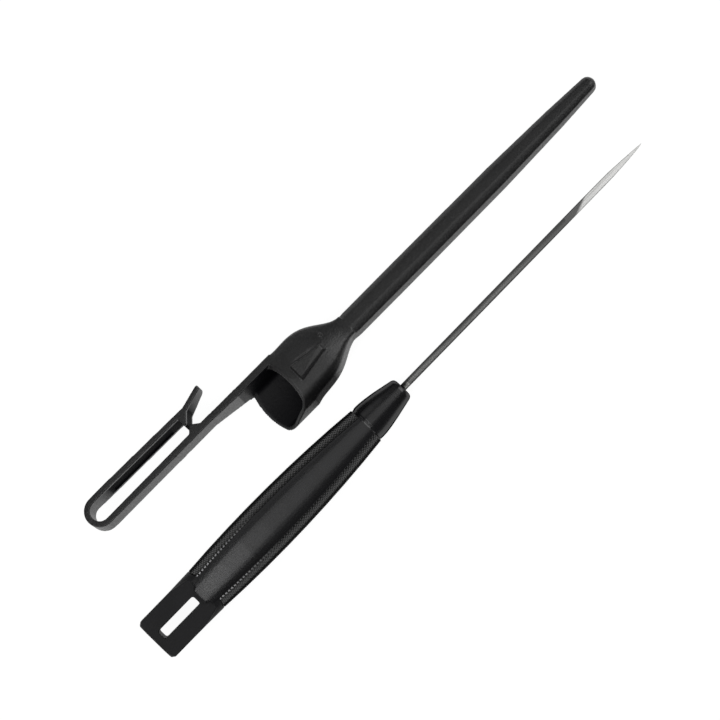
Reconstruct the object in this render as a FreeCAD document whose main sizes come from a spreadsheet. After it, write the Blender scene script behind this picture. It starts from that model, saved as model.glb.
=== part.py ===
import FreeCAD, Part
import math
import os
import Sketcher
from FreeCAD import Placement, Rotation, Vector

# A scratch awl and its belt sheath, lying side by side.
#
# The awl is drawn in its own frame: X runs from the butt to the point, Y is across the
# handle and Z is through it. The sheath is drawn in its own frame too: X runs along the
# tube towards the tip and starts at the mouth, just inside its low lip, Y points to the
# belt rail and Z is sideways. Both are then laid on the surface that they rest on.

doc = FreeCAD.newDocument("ScratchAwl")
sizes = doc.addObject("Spreadsheet::Sheet", "Sizes")

AWL_SIZES = [
    ("handle_length", 120.2, "butt to the end of the nose"),
    ("butt_rounding", 1.2, "run of the softened butt edge"),
    ("butt_inset", 0.9, "how far the butt face lies inside the sides"),
    ("paddle_margin", 0.5, "how far the flats' cut runs past the paddle's sides"),
    ("paddle_thickness", 11.6, "across the two flats of the butt"),
    ("paddle_flat_length", 21.6, "butt to the step up onto the grip"),
    ("paddle_flat_corner", 7.6, "radius of the flats' run-out, in plan"),
    ("hang_slot_start", 3.1, "butt to the slot"),
    ("hang_slot_length", 16.8, "slot, end to end"),
    ("hang_slot_width", 3.6, "slot, side to side"),
    ("hang_slot_corner", 0.8, "slot's corner radius"),
    ("nose_step", 0.25, "nose below the grip where they meet"),
    ("nose_end_radius", 4.1, "nose at its end"),
    ("nose_bevel", 0.9, "softened edge of the nose's end"),
    ("ring_groove_place", 3.0, "end of the grips to the ring groove"),
    ("ring_groove_width", 0.6, "ring groove, along the handle"),
    ("ring_groove_depth", 0.45, "ring groove, below the nose"),
    ("handle_crown", 2.7, "crown's radius past the corner's, over the width between corners"),
    ("grip_depth", 1.4, "thickness of a grip panel at its ends"),
    ("bed_chamfer", 2.4, "corners of the core under the grip panels"),
    ("blade_width", 2.5, "square steel bar, flat to flat"),
    ("blade_edge", 0.25, "bevel along the bar's edges"),
    ("blade_reach", 116.6, "nose to the point"),
    ("tang_length", 70.0, "bar inside the handle"),
    ("tang_notch_width", 2.0, "each key notch, along the tang"),
    ("tang_notch_depth", 0.45, "each key notch"),
    ("tang_notch_pitch", 9.0, "notch to notch"),
    ("tang_notch_count", 4, "key notches along the tang"),
    ("tang_notch_start", 8.0, "tang's end to the first notch"),
    ("point_length", 33.4, "ground part of the blade"),
    ("point_tip", 0.08, "radius left at the very tip"),
]

# Handle sections: place along the handle, half width, half depth, corner radius. The grip
# panels run from the neck to the collar, and cover its corners and sides.
HANDLE_SECTIONS = [
    ("butt", 1.2, 8.4, 7.1, 2.0),
    ("paddle", 14.5, 8.4, 7.1, 2.0),
    ("neck", 24.4, 8.65, 7.4, 5.5),
    ("belly", 54.0, 9.55, 8.4, 5.5),
    ("collar", 102.3, 7.2, 7.1, 5.5),
]
REAR_SPAN_COUNT = 3              # straight spans that follow the swell behind the belly
FORE_SPAN_COUNT = 5              # and in front of it

SHEATH_SIZES = [
    ("mouth_slant", 13.6, "mouth to its high lip, along the sheath"),
    ("throat_wall", 1.35, "wall round the throat"),
    ("throat_back_wall", 2.9, "wall on the belt side"),
    ("throat_bore_corner", 2.4, "throat's inner corners on the belt side"),
    ("bore_radius", 1.95, "blade's bore"),
    ("bore_end_wall", 17.0, "solid tip beyond the bore"),
    ("sheath_length", 160.0, "mouth to the tip"),
    ("tip_radius", 2.6, "round tip"),
    ("tube_crown", 8.73, "crown's radius past the corner's, over the width between corners"),
    ("thumb_start", 2.2, "high lip to the thumb wedge"),
    ("thumb_length", 13.6, "thumb wedge, along the sheath"),
    ("thumb_width", 6.6, "thumb wedge at its high end"),
    ("thumb_tip_width", 2.4, "thumb wedge at its low end"),
    ("thumb_rise", 1.3, "thumb wedge above the throat"),
    ("thumb_drop", 0.95, "thumb wedge's low end below the throat's crown"),
    ("thumb_sink", 2.0, "thumb wedge's root below the throat's crown"),
    ("bend_outer_radius", 5.6, "clip's bend, outside"),
    ("bend_thickness", 2.1, "band at the bend"),
    ("bend_width", 7.8, "band at the bend, sideways"),
    ("clip_reach", 68.9, "mouth back to the bend's outermost line"),
    ("clip_pivot_y", 15.4, "tube's axis to the middle of the bend"),
    ("rail_thickness", 2.4, "belt rail"),
    ("rail_width", 7.6, "belt rail, sideways"),
    ("rail_root_width", 12.4, "belt rail where it joins the throat"),
    ("rail_flare_length", 15.0, "mouth back to where the rail widens"),
    ("rail_flare_blend", 12.0, "radius at the start of the flare"),
    ("rail_overlap", 1.0, "rail's end past the mouth's high lip"),
    ("catch_place", 21.3, "mouth back to the catch's peak"),
    ("catch_height", 2.5, "catch above the rail"),
    ("catch_rear", 2.3, "catch's steep side"),
    ("catch_front", 3.1, "catch's gentle side"),
    ("catch_peak", 0.6, "radius of the catch's peak"),
    ("arm_thickness", 1.8, "arm at the tooth"),
    ("arm_width", 10.0, "arm, sideways"),
    ("arm_lean", 0.8, "arm's drop from the bend to the lip"),
    ("lip_start", 18.8, "mouth back to the clip's lip"),
    ("lip_length", 8.9, "clip's lip, along the sheath"),
    ("lip_rise", 3.1, "clip's lip, away from the rail"),
    ("lip_end_width", 6.2, "clip's lip at its end, sideways"),
    ("lip_end_corner", 1.8, "clip's lip, corner radius"),
    ("tooth_clearance", 0.4, "tooth to the catch"),
    ("tooth_rear", 1.5, "tooth's tip behind the catch's peak"),
    ("tooth_tip_width", 1.0, "tooth's tip, along the sheath"),
    ("channel_width", 6.4, "recess in the arm's inner face"),
    ("channel_depth", 0.5, "recess in the arm's inner face"),
    ("channel_start", 55.0, "mouth back to the recess's rear end"),
    ("channel_end", 27.0, "mouth back to the recess's front end"),
]

# Throat sections: place, belt side, front side, half height, belt and front corners, crown.
THROAT_SECTIONS = [
    ("mouth", -0.5, 11.25, 11.1, 8.5, 1.6, 4.6, 24.0),
    ("throat", 15.0, 11.25, 11.1, 8.5, 1.6, 4.6, 24.0),
    ("shoulder", 25.0, 11.2, 9.6, 8.0, 2.2, 4.4, 22.0),
    ("bell", 31.0, 8.95, 7.6, 6.7, 2.6, 3.6, 20.0),
    ("heel", 36.5, 5.3, 4.75, 4.6, 1.6, 1.8, 22.0),
]

# Tube sections: place, half width, half height, corner radius. The shaft's are placed from
# the mouth, and the tapered end's back from the tip.
SHAFT_SECTIONS = [
    ("root", 42.0, 4.5, 3.75, 1.2),
    ("shaft", 75.0, 4.5, 3.75, 1.2),
]
TAPER_SECTIONS = [
    ("taper", 47.6, 4.35, 3.65, 1.2),
    ("ankle", 19.6, 3.55, 3.2, 1.6),
    ("toe", 3.0, 2.65, 2.45, 2.2),
]

LYING_SIZES = [
    ("awl_dip", 1.9, "awl's axis, point down, in degrees"),
    ("sheath_dip", 2.8, "sheath's axis, tip down, in degrees"),
    ("sheath_roll", 17.0, "sheath leaning onto its clip, in degrees"),
    ("sheath_turn", 0.4, "sheath's axis across the awl's, in degrees"),
    ("sheath_beside", 28.15, "awl's axis to the sheath's, at the mouth"),
    ("sheath_ahead", 81.6, "butt of the awl to the sheath's mouth"),
]


SPARE = 2.0                      # how far a cutting outline runs past what it cuts


def fill_sheet(rows, first_row):
    for number, (alias, size, note) in enumerate(rows, first_row):
        sizes.set("A%d" % number, note)
        sizes.set("B%d" % number, str(size))
        sizes.setAlias("B%d" % number, alias)
    return first_row + len(rows)


def section_rows(sections, fields):
    rows = []
    for section in sections:
        for field, size in zip(fields, section[1:]):
            rows.append((section[0] + "_" + field, size, section[0] + " section, " + field))
    return rows


next_row = fill_sheet(AWL_SIZES, 1)
next_row = fill_sheet(
    section_rows(HANDLE_SECTIONS, ("place", "half_width", "half_depth", "corner")), next_row)
next_row = fill_sheet(SHEATH_SIZES, next_row)
next_row = fill_sheet(
    section_rows(THROAT_SECTIONS,
                 ("place", "back", "front", "half_height", "back_corner", "front_corner", "crown")),
    next_row)
next_row = fill_sheet(
    section_rows(SHAFT_SECTIONS + TAPER_SECTIONS,
                 ("place", "half_width", "half_height", "corner")), next_row)
fill_sheet(LYING_SIZES, next_row)
doc.recompute()


class Size:
    """A length: its present value, and the expression that ties it to the sheet."""

    def __init__(self, number, text):
        self.number = number
        self.text = text

    def __add__(self, other):
        other = as_size(other)
        return Size(self.number + other.number, "(%s + %s)" % (self.text, other.text))

    def __sub__(self, other):
        other = as_size(other)
        return Size(self.number - other.number, "(%s - %s)" % (self.text, other.text))

    def __mul__(self, other):
        other = as_size(other)
        return Size(self.number * other.number, "(%s * %s)" % (self.text, other.text))

    def __truediv__(self, other):
        other = as_size(other)
        return Size(self.number / other.number, "(%s / %s)" % (self.text, other.text))

    def __neg__(self):
        return Size(-self.number, "(0 - %s)" % self.text)


def as_size(length):
    return length if isinstance(length, Size) else Size(length, repr(length))


def cell(alias):
    return Size(getattr(sizes, alias), "Sizes." + alias)


def bind(thing, path, length):
    thing.setExpression(path, as_size(length).text)


def new_body(name):
    body = doc.addObject("PartDesign::Body", name)
    body.Label = name
    return body


def origin_plane(body, role):
    for feature in body.Origin.OriginFeatures:
        if feature.Role == role:
            return feature


def attach(thing, body, role, lift, spin=0):
    """Lay a sketch or primitive on an origin plane, lifted along the plane's normal."""
    thing.AttachmentSupport = [(origin_plane(body, role), "")]
    thing.MapMode = "FlatFace"
    lift = as_size(lift)
    turned = Rotation(Vector(0, 0, 1), spin)
    thing.AttachmentOffset = Placement(Vector(0, 0, lift.number), turned)
    bind(thing, "AttachmentOffset.Base.z", lift)


def new_sketch(body, name, role, lift=0):
    sketch = body.newObject("Sketcher::SketchObject", name)
    attach(sketch, body, role, lift)
    return sketch


def tie(sketch, kind, references, length):
    """Add a dimension to a sketch and bind it to the sheet."""
    length = as_size(length)
    index = sketch.addConstraint(Sketcher.Constraint(kind, *references, length.number))
    sketch.setExpression("Constraints[%d]" % index, length.text)


def corner(across, up, rounding=None, bow=None, hollow=None):
    """A corner of an outline: its place, its rounding, and the arc radius of the side that
    leaves it, which bows out of the outline or hollows into it."""
    return {"x": as_size(across), "y": as_size(up), "rounding": rounding,
            "bow": bow, "hollow": hollow}


def bowed_arc(start, end, radius, centre_left):
    """Arc of less than half a turn between two points, with its centre on the given side."""
    chord = end - start
    reach = math.sqrt(max(radius ** 2 - (chord.Length / 2) ** 2, 0.0))
    side = Vector(-chord.y, chord.x, 0).normalize() * (reach if centre_left else -reach)
    centre = (start + end) * 0.5 + side
    first, last = (start, end) if centre_left else (end, start)
    return Part.ArcOfCircle(Part.Circle(centre, Vector(0, 0, 1), radius),
                            math.atan2(first.y - centre.y, first.x - centre.x),
                            math.atan2(last.y - centre.y, last.x - centre.x))


def outline(sketch, corners):
    """Draw a closed outline, its corners listed anticlockwise, all bound to the sheet."""
    places = [Vector(each["x"].number, each["y"].number, 0) for each in corners]
    count = len(corners)
    arrive = []
    leave = []
    for index, each in enumerate(corners):
        before = (places[index] - places[index - 1]).normalize()
        after = (places[(index + 1) % count] - places[index]).normalize()
        setback = 0.0
        if each["rounding"] is not None:
            setback = as_size(each["rounding"]).number * math.tan(before.getAngle(after) / 2)
        arrive.append(places[index] - before * setback)
        leave.append(places[index] + after * setback)

    sides = []
    for index, each in enumerate(corners):
        start = leave[index]
        end = arrive[(index + 1) % count]
        radius = each["bow"] if each["bow"] is not None else each["hollow"]
        if radius is None:
            side = sketch.addGeometry(Part.LineSegment(start, end))
            sides.append((side, 1, 2))
            continue
        centre_left = each["bow"] is not None
        arc = bowed_arc(start, end, as_size(radius).number, centre_left)
        side = sketch.addGeometry(arc)
        tie(sketch, "Radius", (side,), radius)
        sides.append((side, 1, 2) if centre_left else (side, 2, 1))

    for index, each in enumerate(corners):
        last, _, last_end = sides[index - 1]
        following, next_start, _ = sides[index]
        if each["rounding"] is None:
            sketch.addConstraint(
                Sketcher.Constraint("Coincident", last, last_end, following, next_start))
            tie(sketch, "DistanceX", (-1, 1, following, next_start), each["x"])
            tie(sketch, "DistanceY", (-1, 1, following, next_start), each["y"])
            continue
        before = places[index] - places[index - 1]
        after = places[(index + 1) % count] - places[index]
        left_turn = before.cross(after).z > 0
        arc = bowed_arc(arrive[index], leave[index], as_size(each["rounding"]).number, left_turn)
        bend = sketch.addGeometry(arc)
        first_end, last_start = (1, 2) if left_turn else (2, 1)
        point = sketch.addGeometry(Part.Point(places[index]), True)
        sketch.addConstraint([
            Sketcher.Constraint("Tangent", last, last_end, bend, first_end),
            Sketcher.Constraint("Tangent", bend, last_start, following, next_start),
            Sketcher.Constraint("PointOnObject", point, 1, last),
            Sketcher.Constraint("PointOnObject", point, 1, following),
        ])
        tie(sketch, "Radius", (bend,), each["rounding"])
        tie(sketch, "DistanceX", (-1, 1, point, 1), each["x"])
        tie(sketch, "DistanceY", (-1, 1, point, 1), each["y"])


def crowned_box(sketch, back, front, half_height, back_corner, front_corner, crown):
    """Draw a box section with crowned top and bottom, rounded corners and upright sides."""
    back, front, half_height = as_size(back), as_size(front), as_size(half_height)
    back_corner, front_corner = as_size(back_corner), as_size(front_corner)
    crown = as_size(crown)
    middle = (back - front) / 2
    drop = crown - half_height

    def corner_height(side, radius, away):
        run = side - radius - away
        return math.sqrt((crown.number - radius) ** 2 - run ** 2) - drop.number

    right, left = back.number, front.number
    right_round, left_round = back_corner.number, front_corner.number
    right_height = corner_height(right, right_round, middle.number)
    left_height = corner_height(left, left_round, -middle.number)
    right_angle = math.atan2(right_height + drop.number, right - right_round - middle.number)
    left_angle = math.atan2(left_height + drop.number, left - left_round + middle.number)

    def arc(centre_x, centre_y, radius, start, end):
        circle = Part.Circle(Vector(centre_x, centre_y, 0), Vector(0, 0, 1), radius)
        return sketch.addGeometry(Part.ArcOfCircle(circle, start, end))

    def line(x, start, end):
        return sketch.addGeometry(Part.LineSegment(Vector(x, start, 0), Vector(x, end, 0)))

    half_turn = math.pi
    chain = [
        line(right, -right_height, right_height),
        arc(right - right_round, right_height, right_round, 0, right_angle),
        arc(middle.number, -drop.number, crown.number, right_angle, half_turn - left_angle),
        arc(left_round - left, left_height, left_round, half_turn - left_angle, half_turn),
        line(-left, left_height, -left_height),
        arc(left_round - left, -left_height, left_round, half_turn, half_turn + left_angle),
        arc(middle.number, drop.number, crown.number, half_turn + left_angle, -right_angle),
        arc(right - right_round, -right_height, right_round, -right_angle, 0),
    ]
    for index, piece in enumerate(chain):
        following = chain[(index + 1) % len(chain)]
        sketch.addConstraint(Sketcher.Constraint("Tangent", piece, 2, following, 1))
    sketch.addConstraint([
        Sketcher.Constraint("Vertical", chain[0]),
        Sketcher.Constraint("Vertical", chain[4]),
        Sketcher.Constraint("Equal", chain[1], chain[7]),
        Sketcher.Constraint("Equal", chain[3], chain[5]),
        Sketcher.Constraint("Equal", chain[2], chain[6]),
    ])
    tie(sketch, "Radius", (chain[1],), back_corner)
    tie(sketch, "Radius", (chain[3],), front_corner)
    tie(sketch, "Radius", (chain[2],), crown)
    tie(sketch, "DistanceX", (-1, 1, chain[0], 1), back)
    tie(sketch, "DistanceX", (chain[4], 1, -1, 1), front)
    for crowned, way in ((chain[2], -drop), (chain[6], drop)):
        tie(sketch, "DistanceX", (-1, 1, crowned, 3), middle)
        tie(sketch, "DistanceY", (-1, 1, crowned, 3), way)


def loft(body, name, kind, sketches, ruled=False):
    feature = body.newObject("PartDesign::" + kind, name)
    feature.Profile = sketches[0]
    feature.Sections = sketches[1:]
    feature.Ruled = ruled
    return feature


def pad(body, name, sketch, length, both_ways=False):
    feature = body.newObject("PartDesign::Pad", name)
    feature.Profile = sketch
    feature.Midplane = both_ways
    bind(feature, "Length", length)
    return feature


def pocket(body, name, sketch, depth=None, both_ways=False, along_normal=False):
    """Cut a pocket; with no depth it goes right through."""
    feature = body.newObject("PartDesign::Pocket", name)
    feature.Profile = sketch
    feature.Midplane = both_ways
    feature.Reversed = along_normal
    if depth is None:
        feature.Type = "ThroughAll"
    else:
        bind(feature, "Length", depth)
    return feature


def revolve(body, name, kind, sketch):
    feature = body.newObject("PartDesign::" + kind, name)
    feature.Profile = sketch
    feature.ReferenceAxis = (sketch, ["H_Axis"])
    feature.Angle = 360
    return feature


def trim_to_plan(body, name, corners):
    """Cut away all that lies outside an outline seen along Y."""
    sketch = new_sketch(body, name + "_outline", "XZ_Plane")
    widest = max(corners, key=lambda each: each["y"].number)["y"] + SPARE
    rearmost = min(corners, key=lambda each: each["x"].number)["x"] - SPARE
    foremost = max(corners, key=lambda each: each["x"].number)["x"] + SPARE
    outline(sketch, [corner(rearmost, -widest), corner(foremost, -widest),
                     corner(foremost, widest), corner(rearmost, widest)])
    outline(sketch, corners)
    return pocket(body, name, sketch, both_ways=True)


def boolean(kind, name, base, tool):
    result = doc.addObject("Part::" + kind, name)
    result.Base = base
    result.Tool = tool
    result.Label = name
    return result


# ---- Awl ----

collar_place = cell("collar_place")
nose_radius = cell("collar_half_depth") - cell("nose_step")
awl_length = cell("handle_length") + cell("blade_reach")


def even_section(body, name, place, half_width, half_height, rounding, crown_ratio):
    """A crowned section with four like corners, which all turn by the same angle along a form
    because its crown follows its width."""
    sketch = new_sketch(body, name + "_section", "YZ_Plane", place)
    crown = rounding + (half_width - rounding) * crown_ratio
    crowned_box(sketch, half_width, half_width, half_height, rounding, rounding, crown)
    return sketch


def handle_section(body, name):
    return even_section(body, name, cell(name + "_place"), cell(name + "_half_width"),
                        cell(name + "_half_depth"), cell(name + "_corner"),
                        cell("handle_crown"))


def swell_station(end_name, share):
    """Place and section sizes on the way from the belly to one end of the grip, where the
    sizes fall off as a parabola."""
    def towards_end(field, weight):
        belly = cell("belly_" + field)
        return belly - (belly - cell(end_name + "_" + field)) * weight

    return [towards_end("place", share)] + [towards_end(field, share ** 2)
                                            for field in ("half_width", "half_depth", "corner")]


def grip_stations():
    """Named stations from the neck over the belly to the collar."""
    rear = [("rear_span_%d" % step, swell_station("neck", step / REAR_SPAN_COUNT))
            for step in range(REAR_SPAN_COUNT, 0, -1)]
    fore = [("fore_span_%d" % step, swell_station("collar", step / FORE_SPAN_COUNT))
            for step in range(FORE_SPAN_COUNT + 1)]
    return rear + fore


def make_blade(name):
    """Square steel bar: a tang with key notches, and a point ground round."""
    body = new_body(name)
    half = cell("blade_width") / 2
    flat = half - cell("blade_edge")
    tang_end = cell("handle_length") - cell("tang_length")
    bar = new_sketch(body, "bar_section", "YZ_Plane", tang_end)
    outline(bar, [corner(-flat, -half), corner(flat, -half), corner(half, -flat),
                  corner(half, flat), corner(flat, half), corner(-flat, half),
                  corner(-half, flat), corner(-half, -flat)])
    pad(body, "bar", bar, cell("tang_length") + cell("blade_reach"))

    grind = new_sketch(body, "point_profile", "XZ_Plane")
    outside = cell("blade_width") + SPARE
    start = awl_length - cell("point_length")
    half_diagonal = half * math.sqrt(2)
    outline(grind, [corner(awl_length, cell("point_tip")),
                    corner(awl_length + SPARE, cell("point_tip")),
                    corner(awl_length + SPARE, outside), corner(start, outside),
                    corner(start, half_diagonal)])
    revolve(body, "ground_point", "Groove", grind)

    notch = new_sketch(body, "notch_outline", "XZ_Plane")
    rear = tang_end + cell("tang_notch_start")
    fore = rear + cell("tang_notch_width")
    floor = half - cell("tang_notch_depth")
    outline(notch, [corner(rear, floor), corner(fore, floor),
                    corner(fore, half + SPARE), corner(rear, half + SPARE)])
    outline(notch, [corner(rear, -half - SPARE), corner(fore, -half - SPARE),
                    corner(fore, -floor), corner(rear, -floor)])
    first_notch = pocket(body, "first_notch", notch, both_ways=True)
    row = body.newObject("PartDesign::LinearPattern", "notch_row")
    row.Originals = [first_notch]
    row.Direction = (notch, ["H_Axis"])
    row.Mode = "Spacing"
    bind(row, "Offset", cell("tang_notch_pitch"))
    bind(row, "Occurrences", cell("tang_notch_count"))
    body.Tip = row
    return body


def make_handle_form():
    """The handle's whole outside: waisted grip, flat paddle butt with a slot, round nose."""
    body = new_body("handle_form")
    inset = cell("butt_inset")
    butt_face = even_section(body, "butt_face", 0, cell("butt_half_width") - inset,
                             cell("butt_half_depth") - inset, cell("butt_corner") - inset,
                             cell("handle_crown"))
    paddle = [handle_section(body, name) for name in ("butt", "paddle")]
    grip = [even_section(body, name, *station, cell("handle_crown"))
            for name, station in grip_stations()]
    loft(body, "handle_side", "AdditiveLoft", [butt_face] + paddle + grip, ruled=True)

    flat = new_sketch(body, "flat_outline", "XY_Plane", cell("paddle_thickness") / 2)
    beyond = cell("neck_half_width") + cell("paddle_margin")
    run_out = cell("paddle_flat_corner")
    flat_end = cell("paddle_flat_length")
    outline(flat, [corner(-SPARE, -beyond), corner(flat_end, -beyond, run_out),
                   corner(flat_end, beyond, run_out), corner(-SPARE, beyond)])
    top_flat = pocket(body, "top_flat", flat, along_normal=True)
    both_flats = body.newObject("PartDesign::Mirrored", "both_flats")
    both_flats.Originals = [top_flat]
    both_flats.MirrorPlane = (origin_plane(body, "XY_Plane"), [""])
    body.Tip = both_flats

    slot = new_sketch(body, "slot_outline", "XY_Plane")
    rear = cell("hang_slot_start")
    fore = rear + cell("hang_slot_length")
    side = cell("hang_slot_width") / 2
    rounding = cell("hang_slot_corner")
    outline(slot, [corner(rear, -side, rounding), corner(fore, -side, rounding),
                   corner(fore, side, rounding), corner(rear, side, rounding)])
    pocket(body, "hang_slot", slot, both_ways=True)

    nose = new_sketch(body, "nose_profile", "XZ_Plane")
    root = collar_place - cell("ring_groove_place")
    groove = collar_place + cell("ring_groove_place")
    end = cell("handle_length")
    end_radius = cell("nose_end_radius")
    bevel = cell("nose_bevel")
    outline(nose, [corner(root, 0), corner(end, 0), corner(end, end_radius - bevel),
                   corner(end - bevel, end_radius), corner(groove, nose_radius),
                   corner(root, nose_radius)])
    revolve(body, "nose", "Revolution", nose)

    ring = new_sketch(body, "ring_profile", "XZ_Plane")
    half_groove = cell("ring_groove_width") / 2
    floor = nose_radius - cell("ring_groove_depth")
    outline(ring, [corner(groove - half_groove, floor), corner(groove + half_groove, floor),
                   corner(groove + half_groove, nose_radius + SPARE),
                   corner(groove - half_groove, nose_radius + SPARE)])
    revolve(body, "ring_groove", "Groove", ring)
    return body


def make_grip_bed():
    """Straight core under the grip panels, with chamfered corners."""
    body = new_body("grip_bed")
    bevel = cell("bed_chamfer")
    sections = []
    for name in ("neck", "collar"):
        sketch = new_sketch(body, name + "_bed_section", "YZ_Plane", cell(name + "_place"))
        wide = cell(name + "_half_width") - cell("grip_depth")
        deep = cell(name + "_half_depth") - cell("grip_depth")
        right_side = [corner(wide - bevel, -deep), corner(wide, -deep + bevel),
                      corner(wide, deep - bevel), corner(wide - bevel, deep)]
        left_side = [corner(-wide + bevel, deep), corner(-wide, deep - bevel),
                     corner(-wide, -deep + bevel), corner(-wide + bevel, -deep)]
        outline(sketch, right_side + left_side)
        sections.append(sketch)
    loft(body, "bed_form", "AdditiveLoft", sections, ruled=True)
    return body


def make_grip_window(name, side):
    """All that lies beside the smooth strip, on one side of the handle. The strip ends where
    the corners start, at every station."""
    body = new_body(name)
    sketch = new_sketch(body, name + "_outline", "XY_Plane")
    far = cell("belly_half_width") + SPARE
    strip_edge = []
    for station_name, (place, half_width, half_depth, rounding) in grip_stations():
        edge = half_width - (rounding - rounding / cell("handle_crown"))
        strip_edge.append(corner(place, edge * side))
    beside = [corner(collar_place, far * side), corner(cell("neck_place"), far * side)]
    around = strip_edge + beside
    outline(sketch, around if side > 0 else around[::-1])
    over_both_sides = (cell("belly_half_depth") + SPARE) * 2
    pad(body, name + "_block", sketch, over_both_sides, both_ways=True)
    return body


def make_handle():
    """Core and its two side grips, moulded round the tang."""
    form = make_handle_form()
    bed = make_grip_bed()
    core = form
    grips = []
    for name, side in (("grip_panel_left", 1), ("grip_panel_right", -1)):
        window = make_grip_window(name + "_window", side)
        space = boolean("Cut", name + "_space", window, bed)
        grips.append(boolean("Common", name, form, space))
        core = boolean("Cut", "core_less_" + name, core, space)
    return [boolean("Cut", "handle_core", core, make_blade("tang_space"))] + grips


# ---- Sheath ----

pivot_y = cell("clip_pivot_y")
bend_rear = -cell("clip_reach")
bend_middle = bend_rear + cell("bend_outer_radius")
bend_inner_radius = cell("bend_outer_radius") - cell("bend_thickness")
rail_low = pivot_y - cell("bend_outer_radius")
rail_high = rail_low + cell("rail_thickness")
back_wall_face = cell("throat_back") - cell("throat_back_wall")
catch_peak_y = rail_high + cell("catch_height")
rail_end = cell("mouth_slant") + cell("rail_overlap")


def throat_section(body, name, prefix, back_inset, inset, lift=None):
    """One section of the throat and shoulder, or of their hollow where it is inset."""
    place = cell(name + "_place") if lift is None else lift
    sketch = new_sketch(body, prefix + name + "_section", "YZ_Plane", place)
    back_corner = cell(name + "_back_corner")
    front_corner = cell(name + "_front_corner")
    if prefix == "hollow_":
        back_corner = cell("throat_bore_corner")
        front_corner = front_corner - inset
    crowned_box(sketch, cell(name + "_back") - back_inset, cell(name + "_front") - inset,
                cell(name + "_half_height") - inset, back_corner, front_corner,
                cell(name + "_crown") - inset)
    return sketch


def tube_section(body, name, place):
    return even_section(body, name, place, cell(name + "_half_width"),
                        cell(name + "_half_height"), cell(name + "_corner"), cell("tube_crown"))


def bend_plan(width_beyond):
    """Half of the clip's plan at the bend, widening to the piece that leaves it."""
    return [corner(bend_rear - SPARE, -cell("bend_width") / 2),
            corner(bend_middle + cell("bend_outer_radius"), -width_beyond / 2)]


def mirrored_plan(half_plan):
    other_half = [dict(each, y=-each["y"]) for each in reversed(half_plan)]
    return half_plan + other_half


def make_rail(body):
    """Belt rail with the catch on it, from the middle of the bend to the throat's back wall."""
    profile = new_sketch(body, "rail_profile", "XY_Plane")
    flare = -cell("rail_flare_length")
    peak = -cell("catch_place")
    blend = cell("rail_flare_blend")
    bend_floor = rail_low + cell("bend_thickness")
    outline(profile, [
        corner(bend_rear, pivot_y, bow=cell("bend_outer_radius")),
        corner(bend_middle, rail_low),
        corner(flare, rail_low, blend),
        corner(0, back_wall_face),
        corner(rail_end, back_wall_face),
        corner(rail_end, cell("throat_back")),
        corner(0, cell("throat_back")),
        corner(flare, rail_high),
        corner(peak + cell("catch_front"), rail_high),
        corner(peak, catch_peak_y, cell("catch_peak")),
        corner(peak - cell("catch_rear"), rail_high),
        corner(bend_middle, bend_floor, hollow=bend_inner_radius),
        corner(bend_rear + cell("bend_thickness"), pivot_y),
    ])
    pad(body, "rail", profile, cell("rail_root_width"), both_ways=True)
    half_plan = bend_plan(cell("rail_width")) + [
        corner(flare, -cell("rail_width") / 2, blend),
        corner(0, -cell("rail_root_width") / 2),
        corner(rail_end + SPARE, -cell("rail_root_width") / 2)]
    trim_to_plan(body, "rail_plan", mirrored_plan(half_plan))


def make_shell(body):
    """Throat, shoulder and tapered tube, solid, with the round tip."""
    throat = [throat_section(body, section[0], "outer_", 0, 0) for section in THROAT_SECTIONS]
    tube = [tube_section(body, name, cell(name + "_place")) for name, *_ in SHAFT_SECTIONS]
    tube += [tube_section(body, name, cell("sheath_length") - cell(name + "_place"))
             for name, *_ in TAPER_SECTIONS]
    loft(body, "throat", "AdditiveLoft", throat[:2], ruled=True)
    loft(body, "shoulder", "AdditiveLoft", throat[1:] + tube[:1])
    loft(body, "tube", "AdditiveLoft", tube, ruled=True)
    tip = body.newObject("PartDesign::AdditiveSphere", "tip")
    bind(tip, "Radius", cell("tip_radius"))
    attach(tip, body, "YZ_Plane", cell("sheath_length") - cell("tip_radius"))


def make_hollow(body):
    """Throat's hollow, narrowing to the blade's bore, and the slanted mouth."""
    wall = cell("throat_wall")
    back_wall = cell("throat_back_wall")
    entry = throat_section(body, "mouth", "hollow_", back_wall, wall, lift=as_size(-SPARE))
    throat = throat_section(body, "throat", "hollow_", back_wall, wall)
    bell = throat_section(body, "bell", "hollow_", back_wall, wall)
    loft(body, "throat_hollow", "SubtractiveLoft", [entry, throat, bell], ruled=True)

    bore = body.newObject("PartDesign::SubtractiveCylinder", "blade_bore")
    start = cell("bell_place")
    bind(bore, "Radius", cell("bore_radius"))
    bind(bore, "Height", cell("sheath_length") - cell("bore_end_wall") - start)
    attach(bore, body, "YZ_Plane", start)

    mouth = new_sketch(body, "mouth_outline", "XZ_Plane", -back_wall_face)
    high = cell("mouth_half_height") + SPARE
    low_lip = cell("mouth_place")
    over = (cell("mouth_slant") - low_lip) / cell("mouth_half_height") / 2 * SPARE
    outline(mouth, [corner(low_lip - over - SPARE, -high), corner(low_lip - over, -high),
                    corner(cell("mouth_slant") + over, high),
                    corner(low_lip - over - SPARE, high)])
    pocket(body, "slanted_mouth", mouth, along_normal=True)


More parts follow.
